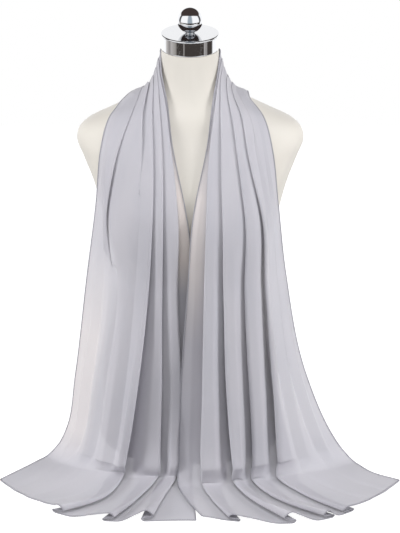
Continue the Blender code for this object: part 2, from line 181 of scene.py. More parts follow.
def smooth_through(places, values, wanted, steady=False):
    """Values at the wanted places, on a smooth curve through the given ones (rows). A steady curve keeps
    between its neighbours, so it turns back only at a given place."""
    places, values = np.asarray(places, float), np.asarray(values, float)
    slopes = np.empty_like(values)
    steps = np.diff(places)[:, None]
    grades = np.diff(values, axis=0) / steps
    slopes[0], slopes[-1] = grades[0], grades[-1]
    slopes[1:-1] = (grades[:-1] * steps[1:] + grades[1:] * steps[:-1]) / (steps[1:] + steps[:-1])
    if steady:
        most = STEEPEST * np.minimum(np.abs(grades[:-1]), np.abs(grades[1:]))
        most[grades[:-1] * grades[1:] < 0] = 0
        slopes[1:-1] = np.clip(slopes[1:-1], -most, most)
    wanted = np.clip(np.asarray(wanted, float), places[0], places[-1])
    at = np.clip(np.searchsorted(places, wanted) - 1, 0, len(places) - 2)
    width = (places[at + 1] - places[at])[:, None]
    share = (wanted - places[at])[:, None] / width
    start, end = values[at], values[at + 1]
    bend_in, bend_out = slopes[at] * width, slopes[at + 1] * width
    square, cube = share**2, share**3
    return (
        (2 * cube - 3 * square + 1) * start
        + (cube - 2 * square + share) * bend_in
        + (3 * square - 2 * cube) * end
        + (cube - square) * bend_out
    )


def joined_tables():
    """The whole shawl as one table: from its left end, over the nape, to its right end."""
    lines, ridges = [], []
    for side, table, shares in (
        (-1, LEFT[::-1] + NAPE[::-1], LEFT_RIDGES[::-1] + NAPE_RIDGES[::-1]),
        (1, NAPE[1:] + RIGHT, NAPE_RIDGES[1:] + RIGHT_RIDGES),
    ):
        for row, share in zip(table, shares):
            line = dict(zip(COLUMNS, row))
            line["along"] *= side
            line["x_in"] *= side
            line["x_out"] *= side
            lines.append([line[name] for name in COLUMNS[1:]])
            ridges.append(share)
    return np.array(lines, float), np.array(ridges, float) / 100


LINES, RIDGES = joined_tables()
END_ALONG = LEFT[-1][1]


def base_points(shares, lines):
    """Points on the smooth surface under the folds: shares across (rows x columns), one line a row. Its
    sections are cubics through four points, at 0, 1/3, 2/3 and 1 across."""
    value = dict(zip(COLUMNS[1:], lines.T[:, :, None]))
    first = -4.5 * (shares - 1 / 3) * (shares - 2 / 3) * (shares - 1)
    near = 13.5 * shares * (shares - 2 / 3) * (shares - 1)
    far = -13.5 * shares * (shares - 1 / 3) * (shares - 1)
    last = 4.5 * shares * (shares - 1 / 3) * (shares - 2 / 3)
    x = value["x_in"] + shares * (value["x_out"] - value["x_in"])
    y, z = (
        first * value[f"{axis}_in"]
        + near * value[f"{axis}_near"]
        + far * value[f"{axis}_far"]
        + last * value[f"{axis}_out"]
        for axis in "yz"
    )
    return np.stack((x, y, np.maximum(z, TABLE_REST)), axis=-1)


def base_normals(share, along):
    """Outward normals of the surface under the folds."""
    moves = (-SLOPE_ALONG, SLOPE_ALONG)
    lines = [smooth_through(LINES[:, 0], LINES, along + move) for move in moves]
    back, ahead = (base_points(share, line) for line in lines)
    middle = smooth_through(LINES[:, 0], LINES, along)
    across = base_points(share + SLOPE_SHARE, middle) - base_points(share - SLOPE_SHARE, middle)
    normal = np.cross(ahead - back, across)
    normal /= np.linalg.norm(normal, axis=2, keepdims=True)
    return normal


def fold_strengths(along):
    """Strength of each fold at each row."""
    places = list(STRENGTH_PLACES.values())
    left = np.array([row[1:] for row in LEFT_STRENGTH], float).T
    right = np.array([row[1:] for row in RIGHT_STRENGTH], float).T
    strong = smooth_through(
        [-place for place in places[::-1]] + places[1:],
        np.concatenate((left[::-1], right[1:])),
        along,
    )
    return np.maximum(strong, LEAST_STRENGTH)


def profile_knots():
    """Where the control points of a section lie, counted in places across the folds."""
    knots = [TURN_END]
    for fold in range(FOLDS):
        start = FOLD_PERIOD * fold
        knots += [start + CREST, start + VALLEY, start + TURN_START, start + TURN_FURTHEST]
        knots += [start + FOLD_PERIOD, start + FOLD_PERIOD + TURN_END]
    last = FOLD_PERIOD * FOLDS
    return np.array(knots + [last + CREST, last + VALLEY, last + TURN_START])


def fold_levels(strong, rise, seen, hem_height):
    """Heights of each fold's foot and ridge. A strong fold's foot is at the bottom. One that fades out
    lies on the line between its neighbours, so that the cloth runs on smoothly over it."""
    fade = np.clip((strong - LEAST_STRENGTH) / (FULL_STRENGTH - LEAST_STRENGTH), 0, 1)
    low, high = np.zeros_like(rise), rise
    for _ in range(LEVEL_ROUNDS):
        before = np.concatenate((hem_height[:, None], high[:, :-1]), axis=1)
        after = np.concatenate((low[:, 1:], np.zeros((len(rise), 1))), axis=1)
        between = (before * seen[:, 1:] + after * seen[:, :-1]) / (seen[:, 1:] + seen[:, :-1])
        low = (1 - fade) * between
        high = low + fade * rise
    return low, high, fade


def fold_profile(ridges, strong, rise, tuck, hem_height, section):
    """Shares across and heights of a section's control points, one row for each place along. Going out,
    a fold turns low first, under its panel, and then high, at its ridge."""
    none = np.zeros((len(ridges), 1))
    edges = np.concatenate((none, ridges, none + 1), axis=1)
    seen = np.diff(edges, axis=1)
    low, high, fade = fold_levels(strong, rise["mm"], seen, hem_height)
    low_reach, high_reach = (TURN_REACH * section[turn] * rise["share"] for turn in ("low_turn", "high_turn"))
    tuck = np.maximum(tuck, -OPEN_ROOM * seen[:, :-1])
    ramp = np.minimum(tuck, 0)  # an open wave's rise, before its ridge
    low_reach, high_reach = (np.maximum(reach, -OPEN_REACH * ramp) for reach in (low_reach, high_reach))
    feet = ridges + np.where(ramp < 0, ramp - low_reach, 0)
    next_feet = np.concatenate((feet[:, 1:], none + 1), axis=1)
    tuck = np.minimum(tuck, TUCK_ROOM * (next_feet - ridges))
    furthest = np.minimum(ridges + tuck, LAST_TUCK)
    shares = (furthest - low_reach, furthest, ridges, ridges + high_reach)
    low_turn = low + section["low_turn"] * (high - low)
    high_turn = high - section["high_turn"] * (high - low)
    heights = (low, low_turn, high_turn, high)
    starts = np.concatenate((none, shares[-1]), axis=1)
    ends = np.concatenate((shares[0], none + 1), axis=1)
    start_heights = np.concatenate((hem_height[:, None], high), axis=1)
    end_heights = np.concatenate((low, none), axis=1)
    # A panel keeps level from its high end, and drops near its low end if a strong fold is there.
    drop = end_heights - start_heights
    falls = drop < 0
    sharp = np.where(falls, np.concatenate((fade, none), axis=1), np.concatenate((none, fade), axis=1))
    crest_drop = np.where(falls, section["crest"], RISING_CREST)
    valley_drop = np.where(falls, section["valley"], 1 - section["crest"])
    crest_drop = CREST_END + sharp * (crest_drop - CREST_END)
    valley_drop = VALLEY_START + sharp * (valley_drop - VALLEY_START)
    crests = np.clip(
        edges[:, :-1] + CREST_END * seen, starts + CREST_IN * seen, ends - CREST_OUT * seen
    )
    crest_heights = start_heights + crest_drop * drop + sharp * section["swell"] * start_heights
    valleys = np.clip(
        edges[:, :-1] + VALLEY_START * seen,
        crests + VALLEY_IN * seen,
        ends - (1 - VALLEY_START) * seen,
    )
    valley_heights = start_heights + valley_drop * drop
    share, height = [starts[:, 0]], [start_heights[:, 0]]
    for fold in range(FOLDS + 1):
        share += [crests[:, fold], valleys[:, fold]]
        height += [crest_heights[:, fold], valley_heights[:, fold]]
        if fold < FOLDS:
            share += [part[:, fold] for part in shares]
            height += [part[:, fold] for part in heights]
    return np.array(share + [ends[:, -1]]), np.array(height + [end_heights[:, -1]])


def drape(along, columns):
    """Points of the draped cloth in millimetres: one row for each place along the shawl, one column
    for each place across its folds."""
    lines = smooth_through(LINES[:, 0], LINES, along)
    ridges = smooth_through(LINES[:, 0], RIDGES, along)
    value = dict(zip(COLUMNS[1:], lines.T))
    strong = fold_strengths(along)
    across = base_points(np.linspace(0, 1, WIDTH_POINTS)[None, :].repeat(len(along), 0), lines)
    width = np.linalg.norm(np.diff(across, axis=1), axis=2).sum(axis=1)[:, None]
    rise = {"mm": value["rise"][:, None] * strong}
    rise["share"] = rise["mm"] / width
    tucked = np.clip((strong - OPEN_STRENGTH) / (FULL_STRENGTH - OPEN_STRENGTH), LEAST_TUCK, 1)
    tuck = value["tuck"][:, None] / width * tucked
    lift = np.interp(along, (-LIFT_CHANGE, LIFT_CHANGE), (HEM_LIFT["left"], HEM_LIFT["right"]))
    table = np.array([row[1:] for row in SECTIONS], float)
    shapes = smooth_through(table[:, 0], table, np.abs(along))
    section = dict(zip(SECTION_COLUMNS[1:], shapes.T[:, :, None]))
    share, height = fold_profile(ridges, strong, rise, tuck, value["rise"] * lift, section)
    share = smooth_through(profile_knots(), share, columns, steady=True).T
    height = smooth_through(profile_knots(), height, columns, steady=True).T
    points = base_points(share, lines) + height[:, :, None] * base_normals(share, along)
    points[:, :, 2] = np.maximum(points[:, :, 2], TABLE_REST)
    return points


def fold_columns():
    """Places of the mesh columns: even along each panel, and closer where the cloth turns."""
    stops = [(TURN_END, TURN_START, PANEL_STEPS)]
    for fold in range(FOLDS):
        start = FOLD_PERIOD * fold
        half = (start + TURN_START, start + TURN_FURTHEST, start + TURN_FURTHEST + TURN_END)
        half += (start + FOLD_PERIOD, start + FOLD_PERIOD + TURN_END)
        stops += [(here, there, TURN_STEPS) for here, there in zip(half[:-1], half[1:])]
        stops.append((half[-1], half[-1] + TURN_START - TURN_END, PANEL_STEPS))
    places = [np.linspace(here, there, steps, endpoint=False) for here, there, steps in stops]
    return np.concatenate(places + [[stops[-1][1]]])


# Painted light: where a single layer of cloth is painted paler, for the light of the pale form and backdrop
# behind it showing through: the side (-1 or 1), the places across and along between which it comes and goes,
# and how strong it is.
PAINTED_THROUGH_LIGHT = (
    ("left_inner", -1, (0, 0.5, 2.6, 3.6), (320, 420, 540, 610), 1.0),
    ("right_inner", 1, (0, 0.5, 2.4, 3.6), (320, 420, 560, 700), 0.6),
    ("left_outer", -1, (24.5, 28, 33, 33.5), (520, 700, 900, 990), 0.42),
)


def painted_through_light(along, places):
    """How far the painted through-light, a paler colour for a single layer, shows at each row and column,
    from 0 to 1.
    """
    painted_light_share = np.zeros((len(along), len(places)))
    for _, side, across, fall, share in PAINTED_THROUGH_LIGHT:
        over = np.interp(side * along, fall, (0, 1, 1, 0))
        painted_light_share += share * over[:, None] * np.interp(places, across, (0, 1, 1, 0))
    return painted_light_share


# ---- Hem --------------------------------------------------------------------------------------------
# In millimetres, but for the counts of sides and of points in a stitch.
HEM_STEP = 4.0
HEM_RADIUS, HEM_SIDES = 0.8, 8
STITCH_PITCH, STITCH_WIDE, STITCH_HIGH, STITCH_POINTS = 3.2, 1.7, 1.0, 6
THREAD_RADIUS, THREAD_SIDES = 0.22, 3


# ---- Dress form, cap and ball ------------------------------------------------------------------------
# Height, half-width, front depth, back depth and squareness of each level section of the form, which is
# an ellipse at squareness 2.
FORM_SECTIONS = (
    ("base", 0, 158, 95, 96, 2.3),
    ("base_round", 4, 162, 99, 100, 2.3),
    ("below_hips", 80, 166, 103, 104, 2.3),
    ("hips", 160, 163, 102, 104, 2.3),
    ("above_hips", 220, 154, 97, 96, 2.3),
    ("below_waist", 280, 140, 88, 84, 2.3),
    ("waist", 335, 134, 84, 78, 2.3),
    ("ribs", 390, 138, 90, 81, 2.3),
    ("under_bust", 440, 148, 101, 88, 2.3),
    ("bust", 500, 160, 115, 97, 2.3),
    ("above_bust", 550, 173, 110, 101, 2.25),
    ("chest", 590, 188, 94, 99, 2.15),
    ("arm_end", 620, 198, 81, 94, 2.05),
    ("arm_top", 638, 193, 74, 90, 2.0),
    ("shoulder_end", 651, 179, 70, 86, 2.0),
    ("shoulder", 664, 151, 67, 82, 2.0),
    ("shoulder_mid", 678, 121, 63, 77, 2.0),
    ("collar", 690, 94, 58, 71, 2.0),
    ("neck_root", 703, 71, 54, 64, 2.0),
    ("neck_low", 722, 56, 51, 56, 2.0),
    ("neck", 745, 50.5, 49.5, 50.5, 2.0),
    ("neck_top", 781, 49, 49, 49, 2.0),
)
FORM_SEGMENTS, FORM_RINGS = 128, 120
CAP_BOTTOM, CAP_TOP, CAP_RADIUS = 781.3, 808.7, 50.0
LIP_RADIUS = 1.7  # the rolled edge of the disc
DRUM_RADIUS, DRUM_BEVEL = 49.0, 1.0
BALL_RADIUS, BALL_CENTRE = 22.0, 831.0
COLLAR_RADIUS, COLLAR_BOTTOM, COLLAR_RIM = 8.0, 809.0, 0.8
TURNED_STEPS = 128
LIP_STEPS, BEVEL_STEPS, BALL_STEPS, RIM_STEPS = 14, 6, 48, 8


# ---- Materials -------------------------------------------------------------------------------------
MIX_A, MIX_B, MIX_RESULT = 6, 7, 2  # sockets of a Mix node that mixes colours


def linear(code):
    """An sRGB hex colour as linear red, green, blue and alpha."""
    parts = [int(code[i : i + 2], 16) / 255 for i in (1, 3, 5)]
    return (*[c / 12.92 if c <= 0.04045 else ((c + 0.055) / 1.055) ** 2.4 for c in parts], 1.0)


def set_inputs(node, inputs):
    """Give a node its inputs, by name or number. Each is a value or a socket to link."""
    for name, value in inputs.items():
        if isinstance(value, bpy.types.NodeSocket):
            node.id_data.links.new(value, node.inputs[name])
        else:
            node.inputs[name].default_value = value


def add_node(tree, kind, inputs=None, **settings):
    """A node with its settings and inputs."""
    node = tree.nodes.new(kind)
    for name, value in settings.items():
        setattr(node, name, value)
    set_inputs(node, inputs or {})
    return node


def new_material(name):
    """A material with its tree and its Principled node."""
    made = bpy.data.materials.new(name)
    made.use_nodes = True
    return made, made.node_tree, made.node_tree.nodes["Principled BSDF"]


def grain(tree, place, size, stretch=(1, 1, 1), detail=2.0):
    """Noise of one grain size in millimetres, longer along an axis whose stretch is under 1."""
    scaled = add_node(tree, "ShaderNodeVectorMath", {0: place, 1: stretch}, operation="MULTIPLY")
    noise = add_node(
        tree, "ShaderNodeTexNoise",
        {"Vector": scaled.outputs[0], "Scale": 1 / (size * MM), "Detail": detail},
    )
    return noise.outputs["Fac"]


def chiffon_material():
    """Polyester crepe chiffon, piece-dyed lavender grey: semi-sheer, dry and matt, with a faint sheen where
    it turns away. Single layers are painted paler, as painted light showing through them; folds keep the full
    grey.
    The twisted threads lie 0.25 mm apart, too fine to show, so their grain is drawn 1.2 mm wide."""
    made, tree, shader = new_material("polyester_chiffon")
    cut = add_node(tree, "ShaderNodeUVMap", uv_map="cut").outputs["UV"]
    threads = grain(tree, cut, size=1.2, stretch=(1, 0.25, 1))
    picks = grain(tree, cut, size=1.2, stretch=(0.25, 1, 1))
    weave = add_node(tree, "ShaderNodeMath", {0: threads, 1: picks}, operation="ADD").outputs[0]
    dye = grain(tree, cut, size=90, stretch=(1, 0.4, 1), detail=3.0)
    mottle = add_node(
        tree, "ShaderNodeMath", {0: weave, 1: 0.12, 2: dye}, operation="MULTIPLY_ADD"
    ).outputs[0]
    tone = add_node(
        tree, "ShaderNodeMapRange", {"Value": mottle, "From Min": 0.35, "From Max": 0.85},
        interpolation_type="SMOOTHSTEP",
    ).outputs["Result"]
    grey = add_node(
        tree, "ShaderNodeMix", {"Factor": tone, MIX_A: linear("#B9B8C0"), MIX_B: linear("#C1BFC6")},
        data_type="RGBA",
    ).outputs[MIX_RESULT]
    # Painted light: a paler cream, #EFE6E2, is painted where a single layer shows, for the light through it.
    painted_light_mask = add_node(tree, "ShaderNodeAttribute", attribute_name="painted_through_light").outputs["Fac"]
    cloth_with_painted_light = add_node(
        tree, "ShaderNodeMix", {"Factor": painted_light_mask, MIX_A: grey, MIX_B: linear("#EFE6E2")}, data_type="RGBA"
    ).outputs[MIX_RESULT]
    crepe = add_node(tree, "ShaderNodeBump", {"Height": weave, "Distance": 0.12 * MM}).outputs["Normal"]
    set_inputs(shader, {
        "Base Color": cloth_with_painted_light, "Roughness": 0.7, "Sheen Weight": 0.25, "Sheen Roughness": 0.4,
        "Alpha": 0.92, "Normal": crepe,
    })
    return made


def hem_material():
    """The same chiffon rolled on itself: three layers, so it is solid and a shade darker."""
    made, tree, shader = new_material("rolled_chiffon")
    place = add_node(tree, "ShaderNodeTexCoord").outputs["Object"]
    roll = grain(tree, place, size=1.0)
    grey = add_node(
        tree, "ShaderNodeMix", {"Factor": roll, MIX_A: linear("#9A99A2"), MIX_B: linear("#ABAAB2")},
        data_type="RGBA",
    ).outputs[MIX_RESULT]
    ridged = add_node(tree, "ShaderNodeBump", {"Height": roll, "Distance": 0.2 * MM}).outputs["Normal"]
    set_inputs(shader, {"Base Color": grey, "Roughness": 0.75, "Normal": ridged})
    return made


def thread_material():
    """Spun polyester thread, dyed to match: dull, a little darker than the cloth."""
    made, tree, shader = new_material("spun_polyester_thread")
    place = add_node(tree, "ShaderNodeTexCoord").outputs["Object"]
    fluff = grain(tree, place, size=0.5)
    grey = add_node(
        tree, "ShaderNodeMix", {"Factor": fluff, MIX_A: linear("#8A8892"), MIX_B: linear("#9D9BA4")},
        data_type="RGBA",
    ).outputs[MIX_RESULT]
    set_inputs(shader, {"Base Color": grey, "Roughness": 0.6})
    return made


def chrome_material():
    """Chromed steel: nickel under a bright chromium plate, buffed to a mirror, with faint wipe marks."""
    made, tree, shader = new_material("chromed_steel")
    place = add_node(tree, "ShaderNodeTexCoord").outputs["Object"]
    marks = grain(tree, place, size=9, stretch=(1, 1, 3), detail=4.0)
    buffed = add_node(
        tree, "ShaderNodeMapRange",
        {"Value": marks, "From Min": 0.35, "From Max": 0.75, "To Min": 0.04, "To Max": 0.09},
        interpolation_type="SMOOTHSTEP",
    ).outputs["Result"]
    plate = add_node(
        tree, "ShaderNodeMix", {"Factor": marks, MIX_A: linear("#C6C7CA"), MIX_B: linear("#CDCED0")},
        data_type="RGBA",
    ).outputs[MIX_RESULT]
    set_inputs(shader, {"Base Color": plate, "Metallic": 1.0, "Roughness": buffed})
    return made


def form_material():
    """Glass fibre in sprayed cream paint: smooth satin, with the faint unevenness of a sprayed coat."""
    made, tree, shader = new_material("painted_glass_fibre")
    place = add_node(tree, "ShaderNodeTexCoord").outputs["Object"]
    coat, peel = grain(tree, place, size=120, detail=3.0), grain(tree, place, size=2.5)
    cream = add_node(
        tree, "ShaderNodeMix", {"Factor": coat, MIX_A: linear("#D3CEC5"), MIX_B: linear("#D8D4CE")},
        data_type="RGBA",
    ).outputs[MIX_RESULT]
    satin = add_node(
        tree, "ShaderNodeMapRange",
        {"Value": peel, "From Min": 0.3, "From Max": 0.7, "To Min": 0.38, "To Max": 0.48},
        interpolation_type="SMOOTHSTEP",
    ).outputs["Result"]
    uneven = add_node(tree, "ShaderNodeBump", {"Height": peel, "Distance": 0.03 * MM}).outputs["Normal"]
    set_inputs(shader, {"Base Color": cream, "Roughness": satin, "Normal": uneven})
    return made


def floor_material():
    """White paper sweep: matt. It looks fully lit, as a sweep does with a light of its own, but it throws
    no more light on the cloth than paper would."""
    made, tree, shader = new_material("white_paper")
    thrown = add_node(tree, "ShaderNodeLightPath").outputs["Is Diffuse Ray"]
    glow = add_node(
        tree, "ShaderNodeMapRange", {"Value": thrown, "To Min": FLOOR_GLOW, "To Max": 0},
        interpolation_type="SMOOTHSTEP",
    ).outputs["Result"]
    set_inputs(shader, {
        "Base Color": linear("#969696"), "Roughness": 0.9, "Emission Color": WHITE, "Emission Strength": glow,
    })
    return made


# ---- Pieces ----------------------------------------------------------------------------------------
SHARP_ANGLE = math.radians(50)
MERGE_DISTANCE = 0.01 * MM


def add_piece(name, bm, material):
    """An object at the origin from a bmesh in metres, smooth but for its sharp edges."""
    mesh = bpy.data.meshes.new(name)
    for edge in bm.edges:
        edge.smooth = edge.calc_face_angle(0) < SHARP_ANGLE
    bm.to_mesh(mesh)
    bm.free()
    mesh.polygons.foreach_set("use_smooth", [True] * len(mesh.polygons))
    mesh.materials.append(material)
    made = bpy.data.objects.new(name, mesh)
    bpy.context.scene.collection.objects.link(made)
    return made


def close_up(bm, ends=False):
    """Join a mesh where it meets itself, close its open ends and turn its faces outwards."""
    bmesh.ops.remove_doubles(bm, verts=bm.verts, dist=MERGE_DISTANCE)
    if ends:
        bmesh.ops.holes_fill(bm, edges=bm.edges, sides=0)
    bmesh.ops.recalc_face_normals(bm, faces=bm.faces)


def add_shawl(material):
    """The whole shawl as one thin sheet: a flat grid, laid over the form in its folds."""
    columns = fold_columns()
    rows = np.linspace(-END_ALONG, END_ALONG, int(2 * END_ALONG / ROW_STEP) + 1)
    points = drape(rows, columns) * MM
    steps = np.linalg.norm(np.diff(points, axis=1), axis=2)
    across = np.concatenate((np.zeros((len(rows), 1)), np.cumsum(steps, axis=1)), axis=1)
    across *= CUT_WIDTH / across[:, -1:]
    bm = bmesh.new()
    bmesh.ops.create_grid(bm, x_segments=len(columns) - 1, y_segments=len(rows) - 1, size=1.0)
    # Painted light: each point's share of the paler through-light colour, which the chiffon's colour reads.
    painted_light_mask = bm.verts.layers.float.new("painted_through_light")
    painted_light_share = painted_through_light(rows, columns)
    cell = {}
    for vert in bm.verts:
        column = round((vert.co.x + 1) / 2 * (len(columns) - 1))
        row = round((vert.co.y + 1) / 2 * (len(rows) - 1))
        cell[vert] = (row, column)
        vert.co = points[row, column]
        vert[painted_light_mask] = painted_light_share[row, column]
    cut = bm.loops.layers.uv.new("cut")
    for face in bm.faces:
        for loop in face.loops:
            row, column = cell[loop.vert]
            loop[cut].uv = (across[row, column], CUT_LENGTH * row / (len(rows) - 1))
    return add_piece("shawl", bm, material)


def hem_path():
    """Points along the edge of the cloth, all round, a step apart, and the way out of the cloth."""
    columns = fold_columns()
    places = np.linspace(-END_ALONG, END_ALONG, int(2 * END_ALONG / HEM_STEP) + 1)
    sides = drape(places, columns[[0, 1, -2, -1]]) * MM
    ends = drape(np.array([-END_ALONG, -END_ALONG + HEM_STEP, END_ALONG - HEM_STEP, END_ALONG]), columns) * MM
    edge = np.concatenate((sides[:, 0], ends[3], sides[::-1, 3], ends[0][::-1]))
    inside = np.concatenate((sides[:, 1], ends[2], sides[::-1, 2], ends[1][::-1]))
    out = edge - inside
    return evenly(edge, np.concatenate((edge, out), axis=1), HEM_STEP * MM)


def evenly(path, values, step):
    """Values at places a step apart along a closed path."""
    lengths = np.linalg.norm(np.roll(path, -1, axis=0) - path, axis=1)
    places = np.concatenate(([0], np.cumsum(lengths)))
    wanted = np.linspace(0, places[-1], int(places[-1] / step), endpoint=False)
    return values_at(wanted, places, np.concatenate((values, values[:1])))


def values_at(wanted, places, values):
    """Values at the wanted places, on straight lines between the given ones (rows)."""
    return np.array([np.interp(wanted, places, column) for column in values.T]).T


def ways_along(path, across, closed):
    """Ways out and up at each point of a path, at right angles to it. across: the way out, roughly."""
    ahead = np.roll(path, -1, axis=0) - np.roll(path, 1, axis=0) if closed else np.gradient(path, axis=0)
    ahead /= np.linalg.norm(ahead, axis=1, keepdims=True)
    up = np.cross(ahead, across)
    up /= np.linalg.norm(up, axis=1, keepdims=True)
    return np.cross(up, ahead), up


def tube_along(bm, path, across, radius, sides, closed):
    """A tube along a path: a grid, rolled up. across: a way at right angles to the path, roughly."""
    out, up = ways_along(path, across, closed)
    steps = len(path) - (not closed)
    bmesh.ops.create_grid(bm, x_segments=sides, y_segments=steps, size=1.0)
    for vert in bm.verts:
        turn = math.pi * vert.co.x
        ring = round((vert.co.y + 1) / 2 * steps) % len(path)
        vert.co = Vector(path[ring] + radius * (math.cos(turn) * out[ring] + math.sin(turn) * up[ring]))


def add_hem(material):
    """The cloth's rolled edge, all round."""
    path = hem_path()
    bm = bmesh.new()
    tube_along(bm, path[:, :3], path[:, 3:], HEM_RADIUS * MM, HEM_SIDES, closed=True)
    close_up(bm)
    return add_piece("rolled_hem", bm, material)


def add_overlock(material):
    """Overlock thread wound round the rolled edge, one turn a stitch."""
    hem = hem_path()
    points = hem[:, :3]
    out, up = ways_along(points, hem[:, 3:], closed=True)
    lengths = np.concatenate(([0], np.cumsum(np.linalg.norm(np.diff(points, axis=0), axis=1))))
    turns = int(lengths[-1] / (STITCH_PITCH * MM))
    wanted = np.linspace(0, lengths[-1], turns * STITCH_POINTS)
    points, out, up = (values_at(wanted, lengths, values) for values in (points, out, up))
    turn = 2 * math.pi * turns * wanted[:, None] / lengths[-1]
    wide, high = STITCH_WIDE * MM, STITCH_HIGH * MM
    inset = wide - HEM_RADIUS * MM
    path = points - inset * out + wide * np.cos(turn) * out + high * np.sin(turn) * up
    bm = bmesh.new()
    tube_along(bm, path, out, THREAD_RADIUS * MM, THREAD_SIDES, closed=False)
    close_up(bm, ends=True)
    return add_piece("overlock_stitches", bm, material)


def add_form(material):
    """The limbless form: a grid rolled up into level sections, and closed at both ends."""
    table = np.array([row[1:] for row in FORM_SECTIONS], float)
    heights = np.concatenate(([table[0, 0]], np.linspace(table[1, 0], table[-1, 0], FORM_RINGS)))
    shapes = smooth_through(table[:, 0], table, heights)
    bm = bmesh.new()
    bmesh.ops.create_grid(bm, x_segments=FORM_SEGMENTS, y_segments=FORM_RINGS, size=1.0)
    for vert in bm.verts:
        shape = shapes[round((vert.co.y + 1) / 2 * FORM_RINGS)]
        vert.co = section_point(math.pi * vert.co.x, *shape)
    close_up(bm, ends=True)
    return add_piece("form_skin", bm, material)


def section_point(turn, height, half, front, back, square):
    """A point of a level section of the form, turn being its angle from +X."""
    cos, sin = math.cos(turn), math.sin(turn)
    depth = front if sin < 0 else back
    x = half * math.copysign(abs(cos) ** (2 / square), cos)
    y = depth * math.copysign(abs(sin) ** (2 / square), sin)
    return Vector((x, y, height)) * MM


def add_turned(name, profile, material):
    """A piece turned about the neck's axis, from a profile that runs down its outer side."""
    bm = bmesh.new()
    verts = [bm.verts.new((radius * MM, 0, height * MM)) for radius, height in profile]
    edges = [bm.edges.new(pair) for pair in zip(verts[:-1], verts[1:])]
    bmesh.ops.spin(
        bm, geom=verts + edges, cent=(0, 0, 0), axis=(0, 0, 1), angle=math.tau,
        steps=TURNED_STEPS, use_merge=True, use_duplicate=False,
    )
    close_up(bm)
    return add_piece(name, bm, material)


def arc(centre, radius, start, end, steps):
    """Points of a profile on an arc about (radius, height), its angles in degrees from straight up."""
    across, height = centre
    return [
        (across + radius * math.sin(angle), height + radius * math.cos(angle))
        for angle in np.radians(np.linspace(start, end, steps))
    ]


def cap_profile():
    """Flat disc with a rolled edge, on a slightly smaller drum."""
    edge = (CAP_RADIUS - LIP_RADIUS, CAP_TOP - LIP_RADIUS)
    foot = (DRUM_RADIUS - DRUM_BEVEL, CAP_BOTTOM + DRUM_BEVEL)
    flat = [(0, CAP_TOP), (edge[0] - LIP_RADIUS, CAP_TOP)]
    wall = [(DRUM_RADIUS, edge[1] - LIP_RADIUS), (DRUM_RADIUS, foot[1] + DRUM_BEVEL)]
    lip, bevel = arc(edge, LIP_RADIUS, 0, 180, LIP_STEPS), arc(foot, DRUM_BEVEL, 90, 180, BEVEL_STEPS)
    return flat + lip + wall + bevel + [(0, CAP_BOTTOM)]


def finial_profile():
    """A ball that runs into a short collar."""
    last = 180 - math.degrees(math.asin(COLLAR_RADIUS / BALL_RADIUS))
    ball = arc((0, BALL_CENTRE), BALL_RADIUS, 0, last, BALL_STEPS)
    rim = (COLLAR_RADIUS, COLLAR_BOTTOM + COLLAR_RIM / 2)
    return ball + arc(rim, COLLAR_RIM / 2, 0, 180, RIM_STEPS) + [(0, COLLAR_BOTTOM)]


def build():
    """All pieces, each riding on the one body in place of the solids that it stands for."""
    chiffon, chrome, skin = chiffon_material(), chrome_material(), form_material()
    shawl, hem, stitches = add_shawl(chiffon), add_hem(hem_material()), add_overlock(thread_material())
    form = add_form(skin)
    cap = add_turned("cap_disc_and_drum", cap_profile(), chrome)
    ball = add_turned("ball_and_collar", finial_profile(), chrome)
    for piece, nodes, slot in (
        (shawl, SHAWL_NODES, "chiffon"),
        (hem, SHAWL_NODES, "chiffon"),
        (stitches, SHAWL_NODES, "chiffon"),
        (form, ("form_torso",), "form_skin"),
        (cap, ("neck_cap",), "chrome"),
        (ball, ("finial",), "chrome"),
    ):
        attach(piece, "root")
        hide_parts(*nodes)


# ---- Stage -----------------------------------------------------------------------------------------
FLOOR_HALF = 1.6
WHITE = (1, 1, 1, 1)
# What the chrome sees, by the angle from the front: the walls, and the floor past the table, with stands.
WALL_STOPS = (
    (-179, "#ECECEC"), (-112, "#FFFFFF"), (-107, "#4A4A4C"), (-91, "#5A5C60"), (-84, "#FFFFFF"),
    (-26, "#FFFFFF"), (-16, "#A0AAB2"), (16, "#A0AAB2"), (26, "#FFFFFF"),
    (84, "#FFFFFF"), (91, "#5A5C60"), (107, "#4A4A4C"), (112, "#FFFFFF"), (179, "#ECECEC"),
)
FAR_FLOOR_STOPS = (
    (-179, "#FFFFFF"), (-116, "#FFFFFF"), (-108, "#C4C0BD"), (-90, "#8C8886"), (-80, "#B8B4B1"),
    (-60, "#98948F"), (-52, "#403B38"), (-27, "#403B38"), (-24, "#B0ACA8"), (-21, "#403B38"),
    (56, "#403B38"), (62, "#C0BCBA"), (67, "#6C6866"), (71, "#B0ACAA"), (74, "#403B38"),
    (98, "#403B38"), (105, "#FFFFFF"), (179, "#FFFFFF"),
)
# The walls' tops, as a height over a way of length 1: lower to the back.
WALL_TOP, WALL_TOP_RISE, LEAST_WALL_TOP = 0.485, 0.55, 0.38
WALL_TOP_BLUR = 0.03
FAR_FLOOR_EDGE = (-0.25, -0.19)  # where the far floor ends and the walls begin, as such heights
CEILING = "#403735"
WALL_STRENGTH = 1.6
SOFT_STRENGTH = 0.18
FLOOR_GLOW = 0.95
SOFTBOX_AIM = (0, 0, 0.4)
SOFTBOXES = (
    ("left_softbox", (-2.4, -1.0, 0.9), (0.9, 1.3), 45),
    ("right_softbox", (2.4, -1.0, 0.9), (0.9, 1.3), 45),
    ("overhead_softbox", (0, -1.3, 2.4), (1.2, 1.2), 34),
)


